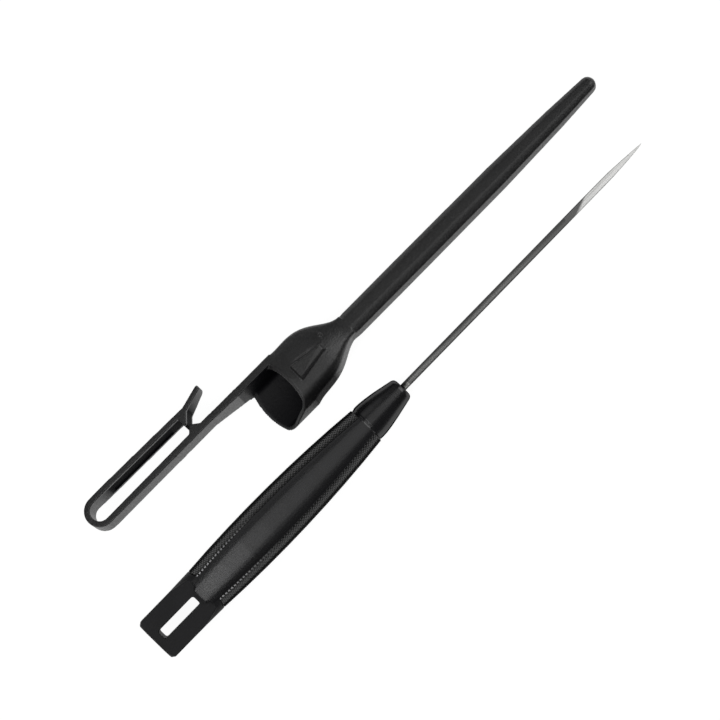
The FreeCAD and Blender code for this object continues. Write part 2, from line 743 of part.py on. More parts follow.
def make_thumb_wedge(body):
    """Raised wedge on the side of the throat, highest towards the mouth."""
    wedge = body.newObject("PartDesign::AdditiveWedge", "thumb_wedge")
    start = cell("mouth_slant") + cell("thumb_start")
    crest = cell("throat_half_height")
    root = crest - cell("thumb_sink")
    attach(wedge, body, "XY_Plane", 0, spin=-90)
    for path, length in (
            ("Xmin", -cell("thumb_width") / 2), ("Xmax", cell("thumb_width") / 2),
            ("X2min", -cell("thumb_tip_width") / 2), ("X2max", cell("thumb_tip_width") / 2),
            ("Ymin", start), ("Ymax", start + cell("thumb_length")),
            ("Zmin", root), ("Zmax", crest + cell("thumb_rise")),
            ("Z2min", root), ("Z2max", crest - cell("thumb_drop"))):
        bind(wedge, path, length)


def make_sheath_body():
    """Rail, throat and tube: one moulding, with the clip's rail half of the bend."""
    body = new_body("sheath_body")
    make_rail(body)
    make_shell(body)
    make_thumb_wedge(body)
    make_hollow(body)
    return body


def make_clip_arm():
    """Sprung arm, from the middle of the bend to the flared lip, with its tooth."""
    body = new_body("clip_arm")
    arm_high = pivot_y + cell("bend_outer_radius")
    arm_low = arm_high - cell("bend_thickness")
    lip_rear = -cell("lip_start")
    lip_fore = lip_rear + cell("lip_length")
    lip_high = arm_high - cell("arm_lean")
    lip_low = lip_high - cell("arm_thickness")
    lip_tip = lip_high + cell("lip_rise")
    slope = (lip_low - arm_low) / (lip_rear - bend_middle)

    def inner_face(place):
        return arm_low + (place - bend_middle) * slope

    tooth_rear = -cell("catch_place") - cell("tooth_rear")
    tooth_fore = tooth_rear + cell("tooth_tip_width")
    tooth_tip = catch_peak_y + cell("tooth_clearance")
    profile = new_sketch(body, "arm_profile", "XY_Plane")
    outline(profile, [
        corner(bend_rear, pivot_y),
        corner(bend_rear + cell("bend_thickness"), pivot_y, hollow=bend_inner_radius),
        corner(bend_middle, arm_low),
        corner(tooth_rear, inner_face(tooth_rear)),
        corner(tooth_rear, tooth_tip),
        corner(tooth_fore, tooth_tip),
        corner(lip_rear, lip_low),
        corner(lip_fore, lip_tip - cell("arm_thickness")),
        corner(lip_fore, lip_tip),
        corner(lip_rear, lip_high),
        corner(bend_middle, arm_high, bow=cell("bend_outer_radius")),
    ])
    pad(body, "arm", profile, cell("arm_width"), both_ways=True)

    half_plan = bend_plan(cell("arm_width")) + [
        corner(lip_rear, -cell("arm_width") / 2),
        corner(lip_fore, -cell("lip_end_width") / 2, cell("lip_end_corner"))]
    trim_to_plan(body, "arm_plan", mirrored_plan(half_plan))

    channel = new_sketch(body, "channel_profile", "XY_Plane")
    rear = -cell("channel_start")
    fore = -cell("channel_end")
    depth = cell("channel_depth")
    outline(channel, [corner(rear, inner_face(rear) - SPARE),
                      corner(fore, inner_face(fore) - SPARE),
                      corner(fore, inner_face(fore) + depth),
                      corner(rear, inner_face(rear) + depth)])
    pocket(body, "channel", channel, cell("channel_width"), both_ways=True)
    return body


# ---- Pieces, laid on the surface ----

def check_document():
    for thing in doc.Objects:
        if "Invalid" in thing.State or "Error" in thing.State:
            raise RuntimeError("%s failed to build" % thing.Name)


def lying_box(pieces, turned):
    """Box of some pieces once they are turned, from their surfaces."""
    box = FreeCAD.BoundBox()
    for piece in pieces:
        shape = piece.Shape.copy()
        shape.Placement = Placement(Vector(0, 0, 0), turned)
        box.add(shape.optimalBoundingBox(True, False))
    return box


awl_pieces = [make_blade("awl_blade")] + make_handle()
sheath_pieces = [make_sheath_body(), make_clip_arm()]
doc.recompute()
check_document()

awl_turned = Rotation(Vector(0, 1, 0), cell("awl_dip").number)
sheath_turned = (Rotation(Vector(0, 0, 1), -cell("sheath_turn").number)
                 * Rotation(Vector(0, 1, 0), cell("sheath_dip").number)
                 * Rotation(Vector(1, 0, 0), -cell("sheath_roll").number))
awl_box = lying_box(awl_pieces, awl_turned)
sheath_box = lying_box(sheath_pieces, sheath_turned)
awl_base = Vector(0, 0, -awl_box.ZMin)
sheath_base = Vector(cell("sheath_ahead").number, cell("sheath_beside").number,
                     -sheath_box.ZMin)
awl_box.move(awl_base)
sheath_box.move(sheath_base)
whole = FreeCAD.BoundBox(awl_box)
whole.add(sheath_box)
to_middle = Vector(-whole.Center.x, -whole.Center.y, 0)

for pieces, base, turned in ((awl_pieces, awl_base, awl_turned),
                             (sheath_pieces, sheath_base, sheath_turned)):
    for piece in pieces:
        piece.Placement = Placement(base + to_middle, turned)
doc.recompute()
check_document()

os.makedirs("parts", exist_ok=True)
for piece in awl_pieces + sheath_pieces:
    shape = piece.Shape
    if shape.isNull() or not shape.isValid():
        raise RuntimeError("%s has no valid shape" % piece.Label)
    shape.exportStep("parts/%s.step" % piece.Label)
    print(piece.Label, "volume %.1f mm3" % shape.Volume, "solids", len(shape.Solids))
print("set %.2f x %.2f x %.2f mm" % (whole.XLength, whole.YLength, whole.ZLength))
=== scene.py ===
import math
import bpy
from mathutils import Matrix, Vector


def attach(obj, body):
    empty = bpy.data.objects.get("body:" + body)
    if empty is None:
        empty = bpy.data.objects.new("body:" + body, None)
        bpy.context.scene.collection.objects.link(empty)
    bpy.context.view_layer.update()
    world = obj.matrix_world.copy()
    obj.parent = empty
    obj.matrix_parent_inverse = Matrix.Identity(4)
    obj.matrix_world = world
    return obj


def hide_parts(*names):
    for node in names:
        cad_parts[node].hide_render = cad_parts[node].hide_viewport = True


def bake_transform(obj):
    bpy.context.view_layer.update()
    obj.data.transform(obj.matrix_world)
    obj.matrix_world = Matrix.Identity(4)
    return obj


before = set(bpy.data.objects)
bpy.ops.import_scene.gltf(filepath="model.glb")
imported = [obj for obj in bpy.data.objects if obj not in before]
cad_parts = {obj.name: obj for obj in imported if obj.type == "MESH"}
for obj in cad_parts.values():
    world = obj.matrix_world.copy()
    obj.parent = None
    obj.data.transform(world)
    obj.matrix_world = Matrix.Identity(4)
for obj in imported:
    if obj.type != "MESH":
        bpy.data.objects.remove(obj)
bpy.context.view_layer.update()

# A scratch awl beside its belt sheath. Lengths here are millimetres, the scene is in metres.
mm = 0.001
print("frame loaded")


# selecting and finishing
def pickOnly(*pieces):
    bpy.ops.object.select_all(action="DESELECT")
    for piece in pieces:
        piece.select_set(True)
    bpy.context.view_layer.objects.active = pieces[0]


def finishWith(piece, kind, **settings):
    pickOnly(piece)
    modifier = piece.modifiers.new(kind.title(), kind)
    for key, value in settings.items():
        setattr(modifier, key, value)
    bpy.ops.object.modifier_apply(modifier=modifier.name)


def editAll(piece):
    pickOnly(piece)
    bpy.ops.object.mode_set(mode="EDIT")
    bpy.ops.mesh.select_all(action="SELECT")


def leaveEdit():
    bpy.ops.object.mode_set(mode="OBJECT")


def pickFaces(piece, wanted):
    # picks faces by their middle and normal, and nothing else
    pickOnly(piece)
    bpy.ops.object.mode_set(mode="EDIT")
    bpy.ops.mesh.select_mode(type="FACE")
    bpy.ops.mesh.select_all(action="DESELECT")
    leaveEdit()
    for face in piece.data.polygons:
        face.select = wanted(face.center, face.normal)
    bpy.ops.object.mode_set(mode="EDIT")


def copyOf(pieceName, *nodeNames):
    # one merged mesh that starts from CAD nodes
    copies = []
    for nodeName in nodeNames:
        copy = bpy.data.objects.new(pieceName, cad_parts[nodeName].data.copy())
        bpy.context.scene.collection.objects.link(copy)
        copies.append(copy)
    pickOnly(*copies)
    if len(copies) > 1:
        bpy.ops.object.join()
    copies[0].name = pieceName
    editAll(copies[0])
    bpy.ops.mesh.remove_doubles(threshold=0.002 * mm)
    leaveEdit()
    copies[0].data.materials.clear()
    return copies[0]


def joinOnto(piece, *others):
    pickOnly(piece, *others)
    bpy.ops.object.join()


def skinned(piece, look, material):
    # one smooth skin over everything that was joined
    finishWith(piece, "REMESH", mode="VOXEL", voxel_size=look["voxel"] * mm)
    finishWith(piece, "SMOOTH", factor=0.5, iterations=look["softening"])
    finishWith(piece, "DECIMATE", ratio=look["keep"])
    pickOnly(piece)
    bpy.ops.object.shade_smooth()
    piece.data.materials.append(material)


def laidOut(lay):
    # from a piece's own frame to where it lies
    turn = Matrix.Rotation(math.radians(lay["turn"]), 4, "Z")
    dip = Matrix.Rotation(math.radians(lay["dip"]), 4, "Y")
    roll = Matrix.Rotation(math.radians(lay["roll"]), 4, "X")
    return Matrix.Translation(Vector(lay["start"]) * mm) @ turn @ dip @ roll


def sliceOff(piece, layFrame, place, outward, closed=True):
    # cuts a piece with a plane given in its own frame and drops what lies outward
    editAll(piece)
    bpy.ops.mesh.bisect(plane_co=layFrame @ (Vector(place) * mm),
                        plane_no=(layFrame.to_3x3() @ Vector(outward)).normalized(),
                        use_fill=closed, clear_outer=True)
    leaveEdit()


def shapedFrom(piece, layFrame, placeOf):
    # gives every point of a fresh primitive its place, in the piece's own frame
    for point in piece.data.vertices:
        point.co = Vector(placeOf(point.co.copy())) * mm
    piece.data.transform(layFrame)
    piece.matrix_world = Matrix.Identity(4)


sheathLay = {"start": (-39.008, 7.333, 10.447), "turn": -0.4, "dip": 2.8, "roll": -17.0}
awlLay = {"start": (-120.608, -20.817, 10.679), "turn": 0.0, "dip": 1.9, "roll": 0.0}
sheathFrame = laidOut(sheathLay)
awlFrame = laidOut(awlLay)


# materials
def newMaterial(name):
    material = bpy.data.materials.new(name)
    material.use_nodes = True
    nodes = material.node_tree.nodes
    links = material.node_tree.links
    return material, nodes, links, nodes["Principled BSDF"]


def ownPlace(nodes, links, lay, stretch=(1.0, 1.0, 1.0)):
    # object coordinates turned into a piece's own frame
    coordinates = nodes.new("ShaderNodeTexCoord")
    mapping = nodes.new("ShaderNodeMapping")
    mapping.vector_type = "TEXTURE"
    mapping.inputs["Location"].default_value = Vector(lay["start"]) * mm
    mapping.inputs["Rotation"].default_value = [math.radians(lay[key])
                                                for key in ("roll", "dip", "turn")]
    mapping.inputs["Scale"].default_value = stretch
    links.new(coordinates.outputs["Object"], mapping.inputs["Vector"])
    return mapping.outputs["Vector"]


def ownNormal(nodes, links, lay):
    # the surface's normal in a piece's own frame
    coordinates = nodes.new("ShaderNodeTexCoord")
    mapping = nodes.new("ShaderNodeMapping")
    mapping.vector_type = "TEXTURE"
    mapping.inputs["Rotation"].default_value = [math.radians(lay[key])
                                                for key in ("roll", "dip", "turn")]
    links.new(coordinates.outputs["Normal"], mapping.inputs["Vector"])
    return mapping.outputs["Vector"]


def noiseNode(nodes, links, place, scale, detail, roughness=0.5):
    noise = nodes.new("ShaderNodeTexNoise")
    noise.inputs["Scale"].default_value = scale
    noise.inputs["Detail"].default_value = detail
    noise.inputs["Roughness"].default_value = roughness
    links.new(place, noise.inputs["Vector"])
    return noise.outputs["Fac"]


def grey(level):
    return (level, level, level, 1.0)


def rampNode(nodes, links, source, *stops):
    # stops are (place, colour) pairs in rising order
    ramp = nodes.new("ShaderNodeValToRGB")
    elements = ramp.color_ramp.elements
    while len(elements) < len(stops):
        elements.new(0.5)
    for element, (place, colour) in zip(elements, stops):
        element.position = place
        element.color = colour if isinstance(colour, tuple) else grey(colour)
    links.new(source, ramp.inputs["Fac"])
    return ramp.outputs["Color"]


def spanNode(nodes, links, source, low, high, unit=mm):
    # runs from 0 at one value to 1 at another
    span = nodes.new("ShaderNodeMapRange")
    span.inputs["From Min"].default_value = low * unit
    span.inputs["From Max"].default_value = high * unit
    links.new(source, span.inputs["Value"])
    return span.outputs["Result"]


def mathNode(nodes, links, operation, first, second=None):
    node = nodes.new("ShaderNodeMath")
    node.operation = operation
    for socket, value in zip(node.inputs, (first, second)):
        if value is None:
            continue
        if isinstance(value, float):
            socket.default_value = value
        else:
            links.new(value, socket)
    return node.outputs[0]


def blendNode(nodes, links, share, first, second):
    blend = nodes.new("ShaderNodeMix")
    blend.data_type = "RGBA"
    links.new(share, blend.inputs[0])
    for socket, value in zip((blend.inputs[6], blend.inputs[7]), (first, second)):
        if isinstance(value, tuple):
            socket.default_value = value
        else:
            links.new(value, socket)
    return blend.outputs[2]


def bumpNode(nodes, links, height, distance, strength=1.0, under=None):
    bump = nodes.new("ShaderNodeBump")
    bump.inputs["Distance"].default_value = distance * mm
    bump.inputs["Strength"].default_value = strength
    links.new(height, bump.inputs["Height"])
    if under is not None:
        links.new(under, bump.inputs["Normal"])
    return bump.outputs["Normal"]


def axesOf(nodes, links, vector):
    split = nodes.new("ShaderNodeSeparateXYZ")
    links.new(vector, split.inputs["Vector"])
    return split.outputs


def allOf(nodes, links, *shares):
    # whole only where every share is whole
    whole = shares[0]
    for share in shares[1:]:
        whole = mathNode(nodes, links, "MULTIPLY", whole, share)
    return whole


def matteButtShadedSides(nodes, links, lay, place, look, gloss):
    # the flat butt is matte, up to where the smooth strip stands up; upright sides get painted
    # shade, with their reflection taken away
    axes = axesOf(nodes, links, place)
    height = mathNode(nodes, links, "ABSOLUTE", axes["Z"])
    matte = allOf(nodes, links, spanNode(nodes, links, axes["X"], *look["buttEnd"]),
                  spanNode(nodes, links, height, *look["buttTop"]))
    gloss = blendNode(nodes, links, matte, gloss, grey(look["buttRoughness"]))
    facing = axesOf(nodes, links, ownNormal(nodes, links, lay))
    upright = spanNode(nodes, links, mathNode(nodes, links, "ABSOLUTE", facing["Z"]),
                       *look["upright"], 1.0)
    sides = blendNode(nodes, links, upright, grey(look["shine"]), grey(look["uprightShadeShine"]))
    return gloss, blendNode(nodes, links, matte, sides, grey(look["buttShine"]))


def matteHollowShade(nodes, links, lay, place, look, tint, gloss):
    # the core side of the moulding is matte and gets painted shade: faces that look at the sheath's
    # own axis, inside the throat and in the clip arm's channel, take a darker tint and less
    # reflection, the channel almost none
    flat = nodes.new("ShaderNodeVectorMath")
    flat.operation = "MULTIPLY"
    flat.inputs[1].default_value = (0.0, 1.0, 1.0)
    links.new(place, flat.inputs[0])
    facing = nodes.new("ShaderNodeVectorMath")
    facing.operation = "DOT_PRODUCT"
    links.new(flat.outputs["Vector"], facing.inputs[0])
    links.new(ownNormal(nodes, links, lay), facing.inputs[1])
    axes = axesOf(nodes, links, place)

    def within(source, key):
        return spanNode(nodes, links, source, *look[key])

    halfWidth = mathNode(nodes, links, "ABSOLUTE", axes["Z"])
    throat = allOf(nodes, links, within(axes["X"], "throatStart"), within(axes["X"], "throatEnd"))
    arm = allOf(nodes, links, within(halfWidth, "channelHalf"), within(axes["X"], "channelRear"),
                within(axes["X"], "channelFront"), within(axes["Y"], "channelFloor"))
    hollow = allOf(nodes, links, within(facing.outputs["Value"], "inward"),
                   mathNode(nodes, links, "MAXIMUM", throat, arm))
    tint = blendNode(nodes, links, hollow, tint, look["hollowShadeTint"])
    gloss = blendNode(nodes, links, hollow, gloss, grey(look["hollowRoughness"]))
    deep = blendNode(nodes, links, arm, grey(look["hollowShadeShine"]), grey(look["channelShadeShine"]))
    # painted shade: the throat's side away from the belt gets almost no reflection, so it reads
    # dark
    flank = allOf(nodes, links, within(axes["Y"], "flankSide"), within(axes["X"], "flankStart"),
                  within(axes["X"], "flankEnd"))
    outer = blendNode(nodes, links, flank, grey(look["shine"]), grey(look["flankShadeShine"]))
    return tint, gloss, blendNode(nodes, links, hollow, outer, deep)


def paintedGlintDashes(nodes, links, place, look, tint):
    # painted highlight: light dashes along the knurling's border with the smooth strip, one for
    # each diamond, fading towards the front, stand in for the glints on the diamonds' edges
    axes = axesOf(nodes, links, place)
    along = mathNode(nodes, links, "DIVIDE", axes["X"], look["glintPitch"] * mm)
    dash = mathNode(nodes, links, "LESS_THAN", mathNode(nodes, links, "FRACT", along), 0.5)
    bow = spanNode(nodes, links, axes["X"], look["glintTo"], look["glintTo"] - look["glintSpan"])
    fall = mathNode(nodes, links, "MULTIPLY", allOf(nodes, links, bow, bow),
                    look["glintFall"] * mm)
    border = mathNode(nodes, links, "SUBTRACT", look["glintMiddle"] * mm, fall)
    past = mathNode(nodes, links, "SUBTRACT",
                    mathNode(nodes, links, "ABSOLUTE", axes["Y"]), border)
    near = spanNode(nodes, links, past, *look["glintWidth"])
    fade = spanNode(nodes, links, axes["X"], look["glintTo"], look["glintFrom"])
    return blendNode(nodes, links, allOf(nodes, links, dash, near, fade), tint, look["paintedGlint"])


def mouldedPlastic(name, lay, look):
    # spark-eroded grain, a slow drift of tone and gloss, and a few fine scuffs
    material, nodes, links, shader = newMaterial(name)
    shader.inputs["IOR"].default_value = look["ior"]
    place = ownPlace(nodes, links, lay)
    grain = noiseNode(nodes, links, place, look["grainScale"], 3.0, 0.6)
    drift = noiseNode(nodes, links, place, look["driftScale"], 4.0)
    along = ownPlace(nodes, links, lay, look["scuffStretch"])
    scuffs = noiseNode(nodes, links, along, look["scuffScale"], 6.0, 0.7)
    tint = rampNode(nodes, links, drift, (0.3, look["dark"]), (0.7, look["light"]))
    scuffShare = rampNode(nodes, links, scuffs, (0.60, 0.0), (0.72, look["scuffShare"]))
    tint = blendNode(nodes, links, scuffShare, tint, look["scuff"])
    dull, rough = look["roughness"]
    gloss = rampNode(nodes, links, grain, (0.3, dull), (0.7, rough))
    shine = None
    if "buttEnd" in look:
        gloss, shine = matteButtShadedSides(nodes, links, lay, place, look, gloss)
    if "hollowShadeTint" in look:
        # painted shade in the throat's hollow and the clip's channel, and on the throat's far flank
        tint, gloss, shine = matteHollowShade(nodes, links, lay, place, look, tint, gloss)
    # painted highlight dashes at the knurling's border
    if "paintedGlint" in look:
        tint = paintedGlintDashes(nodes, links, place, look, tint)
    if shine is None:
        shader.inputs["Specular IOR Level"].default_value = look["shine"]
    else:
        links.new(shine, shader.inputs["Specular IOR Level"])
    links.new(tint, shader.inputs["Base Color"])
    links.new(gloss, shader.inputs["Roughness"])
    relief = bumpNode(nodes, links, grain, look["grainDepth"])
    relief = bumpNode(nodes, links, scuffs, look["scuffDepth"], 1.0, relief)
    links.new(relief, shader.inputs["Normal"])
    return material


# pairs in millimetres say where a mask starts and where it is whole
sheathPlastic = mouldedPlastic("sheathPlastic", sheathLay, {
    "ior": 1.5, "dark": (0.0040, 0.0040, 0.0042, 1), "light": (0.0065, 0.0065, 0.0068, 1),
    "roughness": (0.30, 0.46), "grainScale": 1500.0, "grainDepth": 0.11, "driftScale": 90.0,
    "scuffStretch": (1.0, 1.0, 1.0), "scuffScale": 1500.0, "scuffShare": 0.5,
    "scuff": (0.05, 0.05, 0.052, 1), "scuffDepth": 0.01, "shine": 0.5,
    # the hollow's darker tint and the low shines of the hollow and the channel are painted shade
    "hollowShadeTint": (0.0022, 0.0022, 0.0032, 1), "hollowRoughness": 0.5, "hollowShadeShine": 0.2,
    "inward": (-1.0, -3.0), "throatStart": (-3.0, -2.5), "throatEnd": (38.5, 38.0),
    "channelHalf": (3.8, 3.5), "channelRear": (-63.0, -56.0), "channelFront": (-9.0, -18.0),
    "channelFloor": (13.0, 13.5), "channelShadeShine": 0.01,
    # the flank's near-zero shine is painted shade
    "flankSide": (-6.8, -9.6), "flankStart": (3.0, 15.0), "flankEnd": (37.0, 26.0),
    "flankShadeShine": 0.01})
handlePlastic = mouldedPlastic("handlePlastic", awlLay, {
    "ior": 1.5, "dark": (0.0040, 0.0040, 0.0045, 1), "light": (0.0060, 0.0060, 0.0068, 1),
    "roughness": (0.20, 0.30), "grainScale": 2600.0, "grainDepth": 0.012, "driftScale": 120.0,
    "scuffStretch": (6.0, 1.0, 1.0), "scuffScale": 1400.0, "scuffShare": 0.35,
    "scuff": (0.04, 0.04, 0.043, 1), "scuffDepth": 0.008, "shine": 0.44,
    "buttEnd": (26.2, 25.6), "buttTop": (6.5, 6.1), "buttRoughness": 0.62, "buttShine": 0.24,
    # upright sides with no reflection are painted shade
    "upright": (0.64, 0.34), "uprightShadeShine": 0.0})
gripRubber = mouldedPlastic("gripRubber", awlLay, {
    "ior": 1.5, "dark": (0.0022, 0.0022, 0.0022, 1), "light": (0.0036, 0.0036, 0.0036, 1),
    "roughness": (0.16, 0.24), "grainScale": 3500.0, "grainDepth": 0.008, "driftScale": 150.0,
    "scuffStretch": (1.0, 1.0, 1.0), "scuffScale": 1800.0, "scuffShare": 0.4,
    "scuff": (0.04, 0.04, 0.04, 1), "scuffDepth": 0.01, "shine": 0.34,
    # the light dashes at the knurling's border are a painted highlight
    "paintedGlint": (0.42, 0.42, 0.43, 1), "glintPitch": 1.343, "glintFrom": 25.0, "glintTo": 54.0,
    "glintSpan": 29.6, "glintMiddle": 6.09, "glintFall": 0.9, "glintWidth": (0.47, 0.42)})


def groundSteel(name, lay, look):
    # dull drawn bar, bright where the point is ground, with fine lines along it
    material, nodes, links, shader = newMaterial(name)
    shader.inputs["Metallic"].default_value = 1.0
    place = ownPlace(nodes, links, lay)
    axes = axesOf(nodes, links, place)
    lines = noiseNode(nodes, links, ownPlace(nodes, links, lay, look["stretch"]),
                      look["lineScale"], 4.0, 0.6)
    cloud = noiseNode(nodes, links, place, look["cloudScale"], 3.0)
    # the grinding starts on a slant across the bar, with a wavy edge
    slant = mathNode(nodes, links, "MULTIPLY", axes["Y"], look["slant"])
    wave = mathNode(nodes, links, "MULTIPLY", cloud, look["wave"] * mm)
    edge = mathNode(nodes, links, "ADD", axes["X"], slant)
    edge = mathNode(nodes, links, "ADD", edge, wave)
    ground = spanNode(nodes, links, edge, look["groundStart"], look["groundFull"])
    # the bar is lighter grey just in front of the handle's nose
    collar = spanNode(nodes, links, axes["X"], *look["rootLightEnd"])
    bar = rampNode(nodes, links, lines, (0.3, look["barDark"]), (0.7, look["barLight"]))
    bar = blendNode(nodes, links, collar, bar, look["collar"])
    bright = rampNode(nodes, links, lines, (0.3, look["groundDark"]), (0.7, look["groundLight"]))
    links.new(blendNode(nodes, links, ground, bar, bright), shader.inputs["Base Color"])
    gloss = blendNode(nodes, links, ground,
                      grey(look["barRoughness"]), grey(look["groundRoughness"]))
    links.new(gloss, shader.inputs["Roughness"])
    links.new(bumpNode(nodes, links, lines, look["lineDepth"]), shader.inputs["Normal"])
    return material


bladeSteel = groundSteel("bladeSteel", awlLay, {
    "stretch": (40.0, 1.0, 1.0), "lineScale": 1800.0, "lineDepth": 0.0006, "cloudScale": 300.0,
    "barDark": (0.112, 0.112, 0.110, 1), "barLight": (0.122, 0.122, 0.120, 1),
    "barRoughness": 0.38, "groundDark": (0.50, 0.50, 0.49, 1), "groundLight": (0.78, 0.78, 0.77, 1),
    "groundRoughness": 0.42, "slant": -2.6, "wave": 1.6, "groundStart": 207.2, "groundFull": 209.4,
    "rootLightEnd": (122.9, 122.4), "collar": (0.26, 0.26, 0.25, 1)})
print("materials ready")


# sheath: throat, tube, rail and clip in one moulding
sheath = {
    "voxel": 0.24,            # fineness of the moulding's skin
    "softening": 4,           # passes that round its edges
    "keep": 0.40,             # share of the skin's faces kept
    "flexStart": (-60.0, 14.8, 0.0),
    "flexEnd": (-60.0, 15.05, 0.0),
}
tube = {
    "cut": 40.5,              # mouth to where the tube's own form takes over
    # half the section from top to bottom, as shares of its half width and half height
    "outline": [(0.0, 1.0), (0.36, 0.99), (0.489, 0.93), (0.622, 0.845), (0.756, 0.745),
                (0.889, 0.63), (0.945, 0.56), (1.0, -0.64), (0.911, -0.827),
                (0.711, -0.96), (0.0, -1.0)],
    # place, half width, half height and sideways shift
    "stations": [(38.5, 4.2, 3.6, 0.0), (42.0, 4.5, 3.75, 0.0), (75.0, 4.5, 3.75, 0.0),
                 (112.4, 4.35, 3.65, 0.0), (140.4, 3.6, 3.2, 0.0), (157.2, 2.8, 2.55, 0.0)],
    "tipTurns": (25.0, 50.0, 70.0, 84.0),
    "tipReach": 2.75,
}
thumb = {
    "foot": 6.6,              # its root, buried in the throat
    # place along the sheath, middle and half width, of the foot and of the top
    "mouthFoot": (15.8, -1.1, 3.8), "mouthTop": (16.9, -1.1, 2.6),
    "tipFoot": (29.9, -0.8, 1.7), "tipTop": (28.6, -0.8, 0.85),
    "mouthHeight": 10.0, "tipHeight": 8.35,
    "lean": 0.25,             # top's rise to the belt side, and its fall to the front
}
cadThumb = {"start": 15.8, "end": 29.4, "halfWidth": 3.3, "tipHalfWidth": 1.2,
            "skinHigh": 7.8, "skinFall": 1.3}    # the throat's skin under it
gateDot = {"place": (31.5, 3.1, 6.45), "radius": 0.6, "depth": 0.9}


def loftOf(outline, stations, capStart=True):
    # a form along x: an outline in shares, drawn through (place, half width, half height, shift)
    count = len(outline)
    bpy.ops.mesh.primitive_cylinder_add(vertices=count, radius=1.0, depth=len(stations) - 1.0,
                                        end_fill_type="NGON", location=(0, 0, 0))
    form = bpy.context.object
    middle = (len(stations) - 1) / 2.0
    for step in range(1, len(stations) - 1):
        editAll(form)
        bpy.ops.mesh.bisect(plane_co=(0, 0, step - middle), plane_no=(0, 0, 1))
        leaveEdit()
    if not capStart:
        pickFaces(form, lambda centre, normal: normal.z < -0.9)
        bpy.ops.mesh.delete(type="ONLY_FACE")
        leaveEdit()
    for point in form.data.vertices:
        place, halfWidth, halfHeight, shift = stations[round(point.co.z + middle)]
        corner = round(math.atan2(point.co.x, point.co.y) / (2.0 * math.pi) * count) % count
        across, up = outline[corner]
        point.co = Vector((place, shift + across * halfWidth, up * halfHeight)) * mm
    return form


def makeTube():
    half = tube["outline"]
    outline = half + [(-across, up) for across, up in reversed(half[1:-1])]
    lastPlace, halfWidth, halfHeight, shift = tube["stations"][-1]
    closing = []
    for turn in tube["tipTurns"]:
        shrink = math.cos(math.radians(turn))
        closing.append((lastPlace + tube["tipReach"] * math.sin(math.radians(turn)),
                        halfWidth * shrink, halfHeight * shrink, 0.0))
    form = loftOf(outline, tube["stations"] + closing)
    form.data.transform(sheathFrame)
    return form


def makeThumb():
    bpy.ops.mesh.primitive_cube_add(size=2.0, location=(0, 0, 0))
    form = bpy.context.object

    def placeOf(point):
        end = "mouth" if point.x < 0 else "tip"
        top = point.z > 0
        along, middle, halfWidth = thumb[end + ("Top" if top else "Foot")]
        height = thumb[end + "Height"] + thumb["lean"] * point.y if top else thumb["foot"]
        return along, middle + halfWidth * point.y, height

    shapedFrom(form, sheathFrame, placeOf)
    return form


def makeGateDot():
    bpy.ops.mesh.primitive_cylinder_add(vertices=20, radius=gateDot["radius"],
                                        depth=gateDot["depth"], location=(0, 0, 0))
    form = bpy.context.object
    middle = Vector(gateDot["place"])
    shapedFrom(form, sheathFrame, lambda point: middle + point)
    return form


def clearThumb(moulding):
    # takes the plain wedge off the throat and closes the skin where it stood
    toOwn = sheathFrame.inverted()

    def onWedge(centre, normal):
        place = (toOwn @ centre) / mm
        share = (place.x - cadThumb["start"]) / (cadThumb["end"] - cadThumb["start"])
        narrowing = (cadThumb["halfWidth"] - cadThumb["tipHalfWidth"]) * share
        halfWidth = cadThumb["halfWidth"] - narrowing
        skin = cadThumb["skinHigh"] - cadThumb["skinFall"] * max(share, 0.0)
        return -0.001 < share < 1.001 and abs(place.y) < halfWidth + 0.001 and place.z > skin

    pickFaces(moulding, onWedge)
    bpy.ops.mesh.delete(type="FACE")
    bpy.ops.mesh.select_all(action="SELECT")
    bpy.ops.mesh.fill_holes(sides=0)
    leaveEdit()


def makeSheath():
    moulding = copyOf("sheathMoulding", "sheath_body", "clip_arm")
    clearThumb(moulding)
    sliceOff(moulding, sheathFrame, (tube["cut"], 0, 0), (1, 0, 0))
    joinOnto(moulding, makeTube(), makeThumb(), makeGateDot())
    skinned(moulding, sheath, sheathPlastic)
    return moulding


sheathMoulding = makeSheath()
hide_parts("sheath_body", "clip_arm")
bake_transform(sheathMoulding)
print("sheath ready:", len(sheathMoulding.data.polygons), "faces")


# handle: smooth core with the flat butt
core = {"voxel": 0.22, "softening": 3, "keep": 0.42}
paddle = {
    # squares up the butt's sides: place along the handle, and distances from the middle
    "sides": [(24.0, 5.2), (24.0, 6.4), (21.6, 7.1), (18.4, 7.85), (15.2, 8.38), (2.2, 8.33),
              (1.3, 8.05), (0.7, 7.4), (0.35, 5.2)],
    "halfDepth": 5.78,
}
filling = {"rear": 22.8, "front": 28.56, "slant": 0.54}
nose = {
    "corners": 48,
    # place, half width, half height and sideways shift
    "stations": [(103.1, 6.75, 6.75, 0.1), (103.4, 7.0, 7.0, 0.1), (105.4, 6.95, 6.95, 0.1),
                 (108.0, 6.65, 6.65, 0.12), (112.0, 5.95, 5.95, 0.14), (116.0, 5.1, 5.1, 0.12),
                 (119.0, 4.45, 4.45, 0.1), (119.9, 3.9, 3.9, 0.1), (120.15, 3.1, 3.1, 0.05)],
}
horn = {
    # plan of the scoop on each side of the strip's rear end: place and distance from the middle
    "plan": [(20.6, 2.8), (21.7, 2.8), (24.6, 5.0), (24.6, 6.2), (21.7, 7.1), (18.6, 7.7)],
    "floor": 5.8, "top": 9.0,
}


